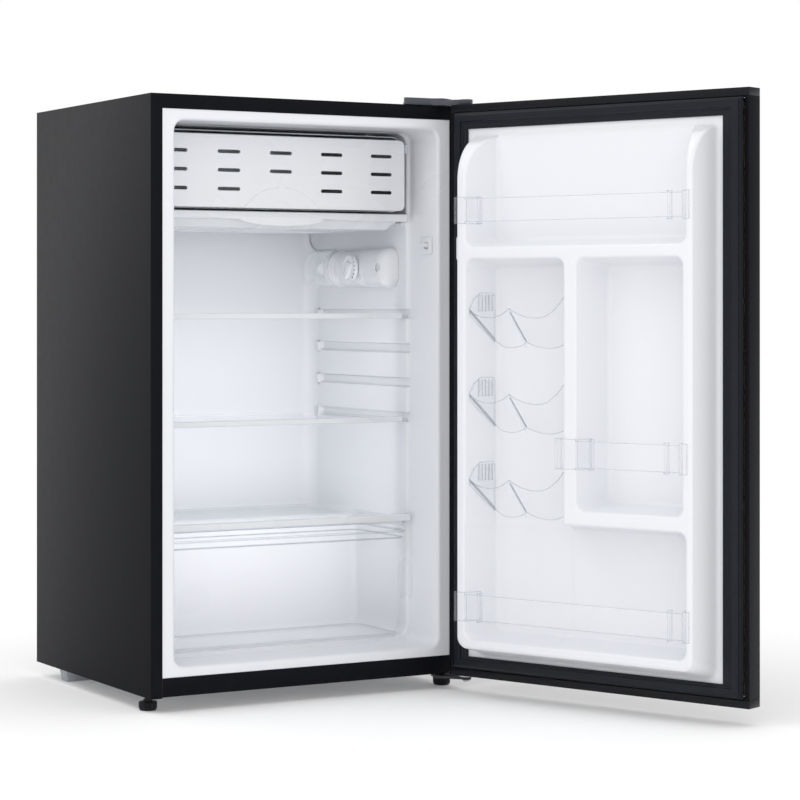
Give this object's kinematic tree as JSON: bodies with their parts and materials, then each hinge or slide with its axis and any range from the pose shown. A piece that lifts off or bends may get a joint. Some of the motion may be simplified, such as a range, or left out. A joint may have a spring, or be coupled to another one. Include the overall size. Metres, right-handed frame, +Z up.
{
  "type": "mini fridge",
  "caption": "Compact upright refrigerator with its door open: ice box with flap, drip tray, glass shelves, crisper drawer and fitted door bins.",
  "frame": {"origin": "middle of the whole object's footprint, door open as stored, at floor level", "axes": "+Z up, +Y from the front opening to the back of the cabinet, +X to the right seen from the front"},
  "size_m": [0.6592, 0.8922, 0.8429],
  "materials": {
    "charcoal_paint": "satin",
    "black_enamel": "satin",
    "zinc_steel": "satin",
    "liner_white": "satin",
    "white_plastic": "satin",
    "clear_plastic": "gloss",
    "shelf_glass": "polished",
    "lamp_glass": "polished",
    "black_plastic": "satin",
    "grey_plastic": "matte",
    "gasket_rubber": "satin",
    "rubber": "matte",
    "copper": "satin",
    "aluminium": "satin",
    "foam": "matte"
  },
  "bodies": {
    "cabinet": {"cabinet_shell": "charcoal_paint", "front_rail": "charcoal_paint", "base_panel": "zinc_steel", "back_panel": "charcoal_paint", "inner_liner": "liner_white", "cabinet_foam": "foam", "rear_foot_left": "grey_plastic", "rear_foot_right": "grey_plastic", "compressor_base": "zinc_steel", "compressor": "black_enamel", "relay_box": "black_plastic", "compressor_grommet_1": "rubber", "compressor_grommet_2": "rubber", "compressor_grommet_3": "rubber", "evaporation_pan": "black_plastic", "filter_drier": "copper", "discharge_tube": "copper", "suction_tube": "copper", "condenser": "zinc_steel", "cord_inlet": "rubber", "ice_box": "aluminium", "control_housing": "white_plastic", "thermostat": "zinc_steel", "lamp": "lamp_glass", "lamp_cover": "clear_plastic", "sensing_tube": "zinc_steel", "switch_housing": "white_plastic", "top_hinge_plate": "zinc_steel", "top_hinge_screw_1": "zinc_steel", "top_hinge_screw_2": "zinc_steel", "top_hinge_cover": "black_plastic", "top_hinge_pin": "zinc_steel", "bottom_hinge_plate": "black_enamel", "bottom_hinge_pin": "zinc_steel", "bottom_hinge_bush": "white_plastic"},
    "levelling_foot_left": {"levelling_foot_left": "black_plastic"},
    "levelling_foot_right": {"levelling_foot_right": "black_plastic"},
    "ice_box_flap": {"ice_box_flap": "white_plastic"},
    "drip_tray": {"drip_tray": "white_plastic"},
    "upper_shelf": {"upper_shelf_glass": "shelf_glass", "upper_shelf_trim": "white_plastic"},
    "lower_shelf": {"lower_shelf_glass": "shelf_glass", "lower_shelf_trim": "white_plastic"},
    "crisper_cover": {"crisper_cover_glass": "shelf_glass", "crisper_cover_trim": "white_plastic"},
    "crisper_drawer": {"crisper_drawer": "clear_plastic"},
    "thermostat_knob": {"thermostat_knob": "white_plastic"},
    "switch_plunger": {"switch_plunger": "white_plastic"},
    "door": {"door_skin": "charcoal_paint", "door_top_cap": "black_plastic", "door_bottom_cap": "black_plastic", "door_foam": "foam", "door_liner": "liner_white", "door_gasket": "gasket_rubber", "top_guard_rail": "clear_plastic", "bottle_guard_rail": "clear_plastic", "bottom_guard_rail": "clear_plastic", "can_rack_upper": "clear_plastic", "can_rack_middle": "clear_plastic", "can_rack_lower": "clear_plastic"}
  },
  "joints": [
    {"name": "door_hinge", "type": "hinge", "parent": "cabinet", "child": "door", "pos_m": [0.1454, 0.0031, 0.4], "axis": [0, 0, 1], "range_deg": [-111.8, 23.2]},
    {"name": "flap_hinge", "type": "hinge", "parent": "cabinet", "child": "ice_box_flap", "pos_m": [-0.0871, 0.1031, 0.7735], "axis": [-1, 0, 0], "range_deg": [0, 90]},
    {"name": "drip_tray_slide", "type": "slide", "parent": "cabinet", "child": "drip_tray", "axis": [0, -1, 0], "range_m": [0, 0.15]},
    {"name": "upper_shelf_slide", "type": "slide", "parent": "cabinet", "child": "upper_shelf", "axis": [0, -1, 0], "range_m": [0, 0.125]},
    {"name": "lower_shelf_slide", "type": "slide", "parent": "cabinet", "child": "lower_shelf", "axis": [0, -1, 0], "range_m": [0, 0.125]},
    {"name": "crisper_cover_slide", "type": "slide", "parent": "cabinet", "child": "crisper_cover", "axis": [0, -1, 0], "range_m": [0, 0.14]},
    {"name": "crisper_drawer_slide", "type": "slide", "parent": "cabinet", "child": "crisper_drawer", "axis": [0, -1, 0], "range_m": [0, 0.13]},
    {"name": "thermostat_knob_turn", "type": "hinge", "parent": "cabinet", "child": "thermostat_knob", "pos_m": [0.0794, 0.2261, 0.603], "axis": [1, 0, 0], "range_deg": [-135, 135]},
    {"name": "switch_plunger_press", "type": "slide", "parent": "cabinet", "child": "switch_plunger", "axis": [1, 0, 0], "range_m": [0, 0.005], "stiffness_N_per_m": 200},
    {"name": "left_foot_screw", "type": "hinge", "parent": "cabinet", "child": "levelling_foot_left", "pos_m": [-0.3171, 0.0731, 0], "axis": [0, 0, 1], "range_deg": [-360, 360]},
    {"name": "right_foot_screw", "type": "hinge", "parent": "cabinet", "child": "levelling_foot_right", "pos_m": [0.1429, 0.0671, 0], "axis": [0, 0, 1], "range_deg": [-360, 360]}
  ]
}
